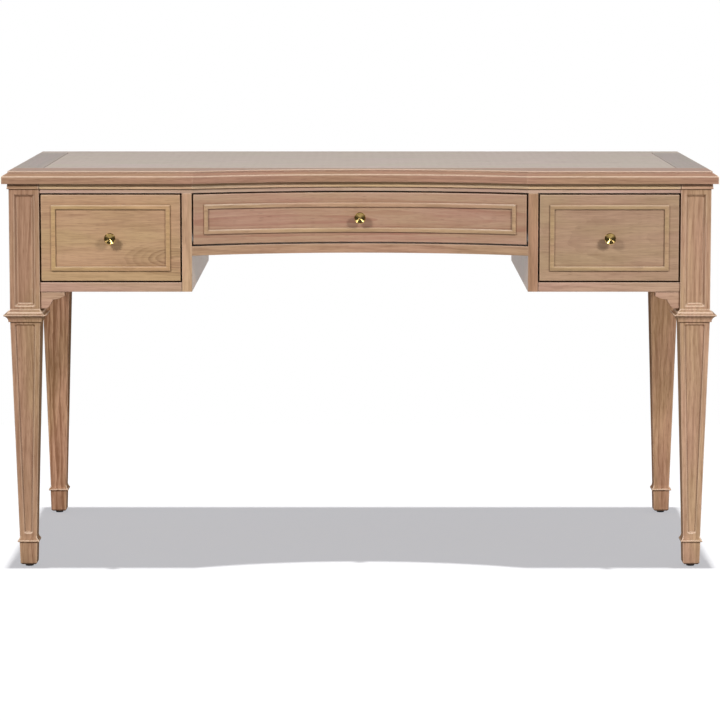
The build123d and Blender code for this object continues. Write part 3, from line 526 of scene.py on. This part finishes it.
def make_soft_edges():
    """Rounded arrises, a painted highlight on arrises that face up, and painted shade in the corners."""
    tree, given, result = group(
        "soft edges",
        {"Color": "Color", "Highlight": "Float", "Corner Shade": "Float", "Corner Shade Reach": "Float"},
        {"Color": "Color", "Normal": "Vector"},
        fixed={"Radius": ARRIS_RADIUS, "Highlight Reach": HIGHLIGHT_REACH},
    )
    # A wider bevel normal finds the arrises that get the painted highlight
    rounded, highlight_normal = (
        add(tree, "ShaderNodeBevel", {"Radius": given[name]}, samples=ARRIS_SAMPLES).outputs["Normal"]
        for name in ("Radius", "Highlight Reach")
    )
    true_normal = add(tree, "ShaderNodeNewGeometry").outputs["Normal"]
    # Painted highlight: arrises, weighted towards those that face up, where the light from above falls
    facing = vector_value(tree, "DOT_PRODUCT", highlight_normal, true_normal)
    edge = smooth_step(tree, sums(tree, "SUBTRACT", 1.0, facing), *ARRIS_RISE)
    upward = axes_of(tree, highlight_normal)["Z"]
    edge = sums(tree, "MULTIPLY", edge, smooth_step(tree, upward, *UPWARD_RISE))
    # Painted shade: ambient occlusion finds the corners, where shade falls
    distance = {"Distance": given["Corner Shade Reach"]}
    open_share = add(tree, "ShaderNodeAmbientOcclusion", distance, samples=CORNER_SAMPLES).outputs["AO"]
    corner = smooth_step(tree, sums(tree, "SUBTRACT", 1.0, open_share), *CORNER_RISE)
    # Outside the corners the painted highlight pales the colour; in the corners the painted shade darkens it
    unshaded = sums(tree, "SUBTRACT", 1.0, corner)
    arris_highlight = sums(tree, "MULTIPLY", sums(tree, "MULTIPLY", edge, unshaded), given["Highlight"])
    highlighted_colour = mixed(tree, arris_highlight, given["Color"], HIGHLIGHT_COLOUR)
    corner_shade = sums(tree, "MULTIPLY", corner, given["Corner Shade"])
    shaded_colour = mixed(tree, 1.0, highlighted_colour, SHADE_COLOUR, "MULTIPLY")
    feed(tree, result["Color"], mixed(tree, corner_shade, highlighted_colour, shaded_colour))
    feed(tree, result["Normal"], rounded)
    return tree


bow_group = make_bowed_board()
wood_group = make_lacquered_wood(make_figure())
edge_group = make_soft_edges()


# Materials

def new_material(name):
    """A node material with its tree, shader and object coordinates."""
    material = bpy.data.materials.new(name)
    material.use_nodes = True
    tree = material.node_tree
    coordinates = add(tree, "ShaderNodeTexCoord").outputs["Object"]
    return material, tree, tree.nodes["Principled BSDF"], coordinates


def dress(node, material):
    """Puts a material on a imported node."""
    mesh = nodes[node].data
    mesh.materials.clear()
    mesh.materials.append(material)


def grain_space(tree, vector, node, grain, pith, look):
    """Coordinates with the grain along X, set off from the pith: straight for fibres, leant for rings."""
    low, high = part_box(node)
    middle = (low + high) / 2
    if look["bowed"]:
        vector = place(tree, bow_group, {"Vector": vector})["Vector"]
        middle.y = 0.0
    middle.rotate(Euler(grain))
    turning = {"Vector": vector, "Location": -middle, "Rotation": grain}
    turned = add(tree, "ShaderNodeMapping", turning).outputs[0]
    if look["cap"]:
        in_cap = sums(tree, "GREATER_THAN", axes_of(tree, vector)["Z"], high.z - look["cap"])
        turned = mixed(tree, in_cap, turned, vector)
    straight = {"Vector": turned, "Location": pith}
    leant = {**straight, "Rotation": (0.0, 0.0, look["lean"])}
    return [add(tree, "ShaderNodeMapping", inputs).outputs[0] for inputs in (straight, leant)]


def wood(node, grain, tone, pith, look):
    """Lacquered wood for one piece: tone is its mean colour, pith the place of its middle in the trunk."""
    look = {**WOOD, **look}
    material, tree, shader, coordinates = new_material(f"walnut {node}")
    fibre_vector, ring_vector = grain_space(tree, coordinates, node, grain, pith, look)
    grown = place(
        tree,
        wood_group,
        {
            "Fibre Vector": fibre_vector,
            "Ring Vector": ring_vector,
            "Pale": [PALE_SHARE * part for part in tone] + [1.0],
            "Dark": [part * share for part, share in zip(tone, look["deep"])] + [1.0],
            "Ring Width": look["ring"],
            "Ring Reach": look["ring_reach"],
            "Wander": look["wander"],
            "Ripple": look["ripple"],
            "Figure": look["figure"],
            "Streaks": look["streaks"],
            "Dullness": look["dullness"],
        },
    )
    # Rounded arrises, with a painted highlight on those that face up and painted shade in the corners
    edges = place(
        tree,
        edge_group,
        {
            "Color": grown["Color"],
            "Highlight": look["arris_highlight"],
            "Corner Shade": look["corner_shade"],
            "Corner Shade Reach": look["corner_shade_reach"],
        },
    )
    relief = {"Strength": GRAIN_STRENGTH, "Distance": GRAIN_DEPTH, "Height": grown["Height"]}
    bump = add(tree, "ShaderNodeBump", {**relief, "Normal": edges["Normal"]})
    feed(tree, shader.inputs["Base Color"], edges["Color"])
    feed(tree, shader.inputs["Roughness"], grown["Roughness"])
    feed(tree, shader.inputs["Normal"], bump.outputs[0])
    shader.inputs["Specular IOR Level"].default_value = look["shine"]
    dress(node, material)


def zinc_plate():
    """Zinc-plated steel with rolling streaks along the slides."""
    material, tree, shader, coordinates = new_material("zinc plate")
    along = add(tree, "ShaderNodeMapping", {"Vector": coordinates, "Rotation": ALONG_Y}).outputs[0]
    streaks = streaky_noise(tree, along, *ZINC_STREAKS)[0]
    blotches = even_noise(tree, coordinates, *ZINC_BLOTCHES)
    feed(tree, shader.inputs["Base Color"], mixed(tree, blotches, ZINC_DARK, ZINC_PALE))
    feed(tree, shader.inputs["Roughness"], sums(tree, "MULTIPLY_ADD", streaks, *ZINC_ROUGHNESS))
    shader.inputs["Metallic"].default_value = 1.0
    return material


def turned_brass(bay):
    """Polished brass with the fine rings that turning leaves about the knob's own axis."""
    material, tree, shader, coordinates = new_material(f"turned brass {bay}")
    low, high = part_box(f"knob_{bay}")
    centred = vector_sums(tree, "SUBTRACT", coordinates, (low + high) / 2)
    across = vector_sums(tree, "MULTIPLY", centred, (1.0, 0.0, 1.0))
    turning = {"W": vector_value(tree, "LENGTH", across), "Scale": TURNING_WAVES, "Detail": 1.0}
    rings = add(tree, "ShaderNodeTexNoise", turning, noise_dimensions="1D").outputs[0]
    tarnish = even_noise(tree, coordinates, *TARNISH_NOISE)
    dulled = smooth_step(tree, tarnish, *TARNISH_RISE)
    feed(tree, shader.inputs["Base Color"], mixed(tree, dulled, BRASS_BRIGHT, BRASS_DULL))
    feed(tree, shader.inputs["Roughness"], sums(tree, "MULTIPLY_ADD", tarnish, *BRASS_ROUGHNESS))
    relief = {"Strength": TURNING_STRENGTH, "Distance": TURNING_DEPTH, "Height": rings}
    feed(tree, shader.inputs["Normal"], add(tree, "ShaderNodeBump", relief).outputs[0])
    tangent = add(tree, "ShaderNodeTangent", direction_type="RADIAL", axis="Y")
    feed(tree, shader.inputs["Tangent"], tangent.outputs[0])
    shader.inputs["Anisotropic"].default_value = BRASS_STRETCH
    shader.inputs["Anisotropic Rotation"].default_value = QUARTER_TURN
    shader.inputs["Metallic"].default_value = 1.0
    return material


def plain_plastic():
    """Black moulded plastic with a fine texture."""
    material, tree, shader, coordinates = new_material("black glide plastic")
    grit = even_noise(tree, coordinates, *GRIT_NOISE)
    feed(tree, shader.inputs["Base Color"], mixed(tree, grit, PLASTIC_DARK, PLASTIC_PALE))
    feed(tree, shader.inputs["Roughness"], sums(tree, "MULTIPLY_ADD", grit, *PLASTIC_ROUGHNESS))
    return material


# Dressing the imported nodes

def board(node, grain, tone, look):
    """Wood for a piece that has its own place in the trunk."""
    wood(node, grain, tone, PITHS[node], look)


def dress_top():
    """The five boards of the top."""
    board("top_field", ALONG_X, TOP_TONE_AND_SHEEN, TOP_FIELD)
    board("top_border_front", ALONG_X, TOP_EDGE_TONE, TOP_EDGE)
    board("top_border_back", ALONG_X, TOP_TONE_AND_SHEEN, TOP_FIELD)
    for side in SIDES:
        board(f"top_border_{side}", ALONG_Y, TOP_END_TONE, TOP_END)


def dress_legs():
    """The four legs, each from its own stretch of the trunk."""
    for number, side in enumerate(SIDES):
        start = LEG_STEP * number
        wood(f"leg_front_{side}", ALONG_Z, LEG_TONES[side], (start, *FRONT_LEG_PITH), FRONT_LEG)
        back_pith = (start + BACK_LEG_STEP, *BACK_LEG_PITH)
        back_look = {**BACK_LEG, "figure": BACK_LEG_FIGURES[side]}
        wood(f"leg_back_{side}", ALONG_Z, BACK_LEG_TONES[side], back_pith, back_look)


def dress_case():
    """Rails, partitions, aprons, brackets, cornice, packing strips and dust panels."""
    board("top_rail", ALONG_X, TOP_RAIL_TONE, TOP_RAIL)
    board("centre_rail", ALONG_X, CENTRE_RAIL_TONE, CENTRE_RAIL)
    board("back_apron", ALONG_X, RAIL_TONE, APRON)
    board("cornice_front_centre", ALONG_X, CORNICE_TONE_AND_PAINTED_LIGHT, {**CORNICE, "bowed": True})
    board("cornice_back", ALONG_X, CORNICE_TONE_AND_PAINTED_LIGHT, CORNICE)
    board("slide_packings", ALONG_Y, BOX_TONE, QUIET)
    board("dust_panels", ALONG_Y, BOX_TONE, PLY_BOARD)
    for number, side in enumerate(SIDES):
        start = CASE_START + CASE_STEP * number
        wood(f"lower_rail_{side}", ALONG_X, RAIL_TONE, (start, *LOWER_RAIL_PITH), QUIET)
        wood(f"partition_{side}", ALONG_Z, STILE_TONES[side], (start, *STILE_PITH), STILE)
        wood(f"side_apron_{side}", ALONG_Y, RAIL_TONE, (start, *SIDE_APRON_PITH), APRON)
        wood(f"bracket_{side}", ALONG_X, RAIL_TONE, (start, *BRACKET_PITH), BRACKET)
        wood(f"cornice_front_{side}", ALONG_X, CORNICE_TONE_AND_PAINTED_LIGHT, (start, *FRONT_CORNICE_PITH), CORNICE)
        wood(f"cornice_side_{side}", ALONG_Y, CORNICE_TONE_AND_PAINTED_LIGHT, (start, *SIDE_CORNICE_PITH), CORNICE)


def dress_box(bay, start):
    """The pale boards of one drawer's box, and its plywood bottom."""
    for number, side in enumerate(SIDES):
        side_pith = (start + BOX_SIDE_STEP * number, *BOX_SIDE_PITH)
        wood(f"drawer_{bay}_side_{side}", ALONG_Y, BOX_TONE, side_pith, BOX_BOARD)
    wood(f"drawer_{bay}_back", ALONG_X, BOX_TONE, (start, *BOX_BACK_PITH), BOX_BOARD)
    wood(f"drawer_{bay}_bottom", ALONG_X, BOX_TONE, (start, *BOX_BOTTOM_PITH), PLY_BOARD)


def dress_drawers(zinc):
    """Fronts, beads, boxes, knobs and slides of the three drawers."""
    for bay in BAYS:
        tone = DRAWER_TONES[bay]
        front = f"drawer_{bay}_front"
        board(front, ALONG_X, tone, DRAWER_FRONTS[bay])
        start = PITHS[front][0]
        bead_tone = [part * share for part, share in zip(tone, BEAD_SHARE)]
        bead_look = {**BEAD, "bowed": bay == "centre"}
        wood(f"drawer_{bay}_bead", ALONG_X, bead_tone, (start, *BEAD_PITH), bead_look)
        dress_box(bay, start)
        dress(f"knob_{bay}", turned_brass(bay))
        for name in ("knob_screw", "slide_middle", "slide_inner"):
            dress(f"{name}_{bay}", zinc)
    dress("slide_outers", zinc)


zinc = zinc_plate()
dress_top()
dress_legs()
dress_case()
dress_drawers(zinc)
dress("foot_glides", plain_plastic())


# Screws that hold the inner slides to the drawer boxes

def closed_pairs(things):
    """Each thing with the next one, round to the first again."""
    return list(zip(things, things[1:] + things[:1]))


def wall(shape, low, high):
    """Faces between two loops of vertices."""
    for (low_first, low_next), (high_first, high_next) in zip(closed_pairs(low), closed_pairs(high)):
        shape.faces.new((low_first, low_next, high_next, high_first))


def cross_outline():
    """The corners of the cross slot on top of the head."""
    reach, half = SCREW_SLOT_REACH, SCREW_SLOT_HALF_WIDTH
    corners = []
    for quarter in range(4):
        turn = Euler((0.0, 0.0, quarter * math.pi / 2))
        for x, y in ((half, half), (half, reach), (-half, reach)):
            corner = Vector((x, y, SCREW_HEAD_HEIGHT))
            corner.rotate(turn)
            corners.append(corner)
    return corners


def screw_head():
    """A pan head with a cross slot, standing on the plane Z = 0."""
    shape = bmesh.new()
    turns = [2 * math.pi * step / SCREW_SIDES for step in range(SCREW_SIDES)]
    profile = (
        (SCREW_HEAD_RADIUS, 0.0),
        (SCREW_HEAD_RADIUS, SCREW_RIM_HEIGHT),
        (SCREW_CROWN_RADIUS, SCREW_HEAD_HEIGHT),
    )
    loops = []
    for radius, level in profile:
        loops.append([shape.verts.new((radius * math.cos(t), radius * math.sin(t), level)) for t in turns])
    foot, rim, crown = loops
    wall(shape, foot, rim)
    wall(shape, rim, crown)
    shape.faces.new(list(reversed(foot)))
    outline = cross_outline()
    slot_rim = [shape.verts.new(corner) for corner in outline]
    slot_floor = [shape.verts.new(corner - Vector((0, 0, SCREW_SLOT_DEPTH))) for corner in outline]
    crown_edges = [shape.edges.get(pair) for pair in closed_pairs(crown)]
    slot_edges = [shape.edges.new(pair) for pair in closed_pairs(slot_rim)]
    bmesh.ops.triangle_fill(shape, edges=crown_edges + slot_edges, use_beauty=True)
    wall(shape, slot_rim, slot_floor)
    shape.faces.new(slot_floor)
    bmesh.ops.recalc_face_normals(shape, faces=shape.faces)
    mesh = bpy.data.meshes.new("screw head")
    shape.to_mesh(mesh)
    shape.free()
    return mesh


def make_screw_rows():
    """Two facing rows of screws: one head repeated along Y on a near and a far wall."""
    tree = bpy.data.node_groups.new("screw rows", "GeometryNodeTree")
    kinds = {
        "Head": "Geometry",
        "Near": "Vector",
        "Far": "Vector",
        "Step": "Vector",
        "Count": "Int",
        "Metal": "Material",
    }
    for name, kind in kinds.items():
        tree.interface.new_socket(name, in_out="INPUT", socket_type=f"NodeSocket{kind}")
    tree.interface.new_socket("Screws", in_out="OUTPUT", socket_type="NodeSocketGeometry")
    given = tree.nodes.new("NodeGroupInput").outputs
    end = tree.nodes.new("NodeGroupOutput")
    joined = add(tree, "GeometryNodeJoinGeometry")
    for place_name, turn in (("Near", -math.pi / 2), ("Far", math.pi / 2)):
        row = add(
            tree,
            "GeometryNodeMeshLine",
            {"Count": given["Count"], "Start Location": given[place_name], "Offset": given["Step"]},
        )
        heads = add(
            tree,
            "GeometryNodeInstanceOnPoints",
            {"Points": row.outputs[0], "Instance": given["Head"], "Rotation": (0.0, turn, 0.0)},
        )
        tree.links.new(heads.outputs[0], joined.inputs[0])
    real = add(tree, "GeometryNodeRealizeInstances", {0: joined.outputs[0]})
    metal = add(tree, "GeometryNodeSetMaterial", {"Geometry": real.outputs[0], "Material": given["Metal"]})
    tree.links.new(metal.outputs[0], end.inputs[0])
    return tree


def plain_mesh(thing):
    """The evaluated mesh of an object with its modifiers, as data of its own."""
    depsgraph = bpy.context.evaluated_depsgraph_get()
    return bpy.data.meshes.new_from_object(thing.evaluated_get(depsgraph))


def slide_screws(bay, rows, head, zinc):
    """The screws in the inner slides of one drawer."""
    low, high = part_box(f"slide_inner_{bay}")
    first = low.y + SCREW_FIRST
    level = (low.z + high.z) / 2
    step = (high.y - low.y - SCREW_FIRST - SCREW_LAST) / (SCREWS_IN_ROW - 1)
    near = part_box(f"drawer_{bay}_side_left")[0]
    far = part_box(f"drawer_{bay}_side_right")[1]
    values = {
        "Near": (near.x - SLIDE_WEB, first, level),
        "Far": (far.x + SLIDE_WEB, first, level),
        "Step": (0.0, step, 0.0),
        "Count": SCREWS_IN_ROW,
        "Metal": zinc,
    }
    maker = bpy.data.objects.new(f"slide_screws_{bay}", head)
    bpy.context.scene.collection.objects.link(maker)
    modifier = maker.modifiers.new("rows", "NODES")
    modifier.node_group = rows
    for socket in rows.interface.items_tree:
        if socket.name in values:
            modifier[socket.identifier] = values[socket.name]
    mesh = plain_mesh(maker)
    maker.modifiers.remove(modifier)
    maker.data = mesh
    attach(maker, f"drawer_{bay}")


screw_rows = make_screw_rows()
head_mesh = screw_head()
for bay in BAYS:
    slide_screws(bay, screw_rows, head_mesh, zinc)


# Stage: floor, light and camera

def white_floor():
    """A floor that shows white in the light and keeps the desk's shadow, and sends little light back up."""
    half = FLOOR_SIZE / 2
    mesh = bpy.data.meshes.new("floor")
    corners = [(-half, -half, 0), (half, -half, 0), (half, half, 0), (-half, half, 0)]
    mesh.from_pydata(corners, [], [(0, 1, 2, 3)])
    floor = bpy.data.objects.new("floor", mesh)
    bpy.context.scene.collection.objects.link(floor)
    material = bpy.data.materials.new("floor paint")
    material.use_nodes = True
    tree = material.node_tree
    tree.nodes.clear()
    path = add(tree, "ShaderNodeLightPath").outputs
    seen = sums(tree, "MAXIMUM", path["Is Camera Ray"], path["Is Glossy Ray"])
    seen = sums(tree, "MAXIMUM", seen, path["Is Transmission Ray"])
    paint = mixed(tree, seen, grey(FLOOR_BOUNCE), grey(FLOOR_SEEN))
    diffuse = add(tree, "ShaderNodeBsdfDiffuse", {"Color": paint})
    glow = add(tree, "ShaderNodeEmission", {"Color": FLOOR_GLOW, "Strength": seen})
    both = add(tree, "ShaderNodeAddShader", {0: diffuse.outputs[0], 1: glow.outputs[0]})
    add(tree, "ShaderNodeOutputMaterial", {"Surface": both.outputs[0]})
    mesh.materials.append(material)
    return floor


def share_light(lamp, things, state):
    """Keeps a lamp to some things alone with INCLUDE, or off them with EXCLUDE."""
    reach = bpy.data.collections.new(f"{lamp.name} reach")
    for thing in things:
        reach.objects.link(thing)
    for link in reach.collection_objects:
        link.light_linking.link_state = state
    lamp.light_linking.receiver_collection = reach


def soft_box(side):
    """A square soft box with a grid in front of one side, turned towards its target."""
    data = bpy.data.lights.new(f"key {side}", "AREA")
    data.size = KEY_SIZE
    data.energy = KEY_POWER
    data.spread = math.radians(KEY_SPREAD)
    lamp = bpy.data.objects.new(f"key {side}", data)
    spot = Vector(KEY_SPOTS[side])
    lamp.location = spot
    lamp.rotation_euler = (Vector(KEY_TARGETS[side]) - spot).to_track_quat("-Z", "Y").to_euler()
    bpy.context.scene.collection.objects.link(lamp)
    return lamp


def far_light(name, strength, spread, tilt):
    """A far lamp with soft shadows: straight from above without tilt, level from behind at -90 degrees."""
    data = bpy.data.lights.new(name, "SUN")
    data.energy = strength
    data.angle = math.radians(spread)
    lamp = bpy.data.objects.new(name, data)
    lamp.rotation_euler = (math.radians(tilt), 0.0, 0.0)
    bpy.context.scene.collection.objects.link(lamp)
    return lamp


def studio_world():
    """White to the camera, a dim even light on the desk, and a bright wall behind it in reflections."""
    world = bpy.data.worlds.new("studio")
    bpy.context.scene.world = world
    world.use_nodes = True
    tree = world.node_tree
    tree.nodes.clear()
    path = add(tree, "ShaderNodeLightPath").outputs
    direction = add(tree, "ShaderNodeTexCoord").outputs["Generated"]
    back = smooth_step(tree, axes_of(tree, direction)["Y"], *ROOM_RISE)
    room = mixed(tree, back, grey(ROOM_FRONT), grey(ROOM_BACK))
    shine = sums(tree, "MAXIMUM", path["Is Glossy Ray"], path["Is Transmission Ray"])
    light = mixed(tree, shine, grey(ROOM_AMBIENT), room)
    colour = mixed(tree, path["Is Camera Ray"], light, grey(WHITE))
    background = add(tree, "ShaderNodeBackground", {"Color": colour, "Strength": 1.0})
    add(tree, "ShaderNodeOutputWorld", {"Surface": background.outputs[0]})


def front_camera():
    """The photograph's viewpoint."""
    data = bpy.data.cameras.new("camera")
    data.sensor_width = SENSOR_MM
    data.lens = FOCAL_PIXELS / IMAGE_PIXELS * SENSOR_MM
    data.shift_y = CAMERA_SHIFT
    camera = bpy.data.objects.new("camera", data)
    camera.location = (0.0, CAMERA_Y, CAMERA_Z)
    camera.rotation_euler = (math.radians(90.0 - CAMERA_PITCH), 0.0, 0.0)
    bpy.context.scene.collection.objects.link(camera)
    bpy.context.scene.camera = camera


floor = white_floor()
studio_world()
for side in SIDES:
    share_light(soft_box(side), [floor], "EXCLUDE")
share_light(far_light("floor light", *FLOOR_LIGHT), [floor], "INCLUDE")
top_pieces = [nodes[name] for name in nodes if name.startswith("top_")]
share_light(far_light("top fill", *TOP_FILL), top_pieces, "INCLUDE")
far_light("back fill", *BACK_FILL)
front_camera()
bpy.context.scene.view_settings.view_transform = "Standard"
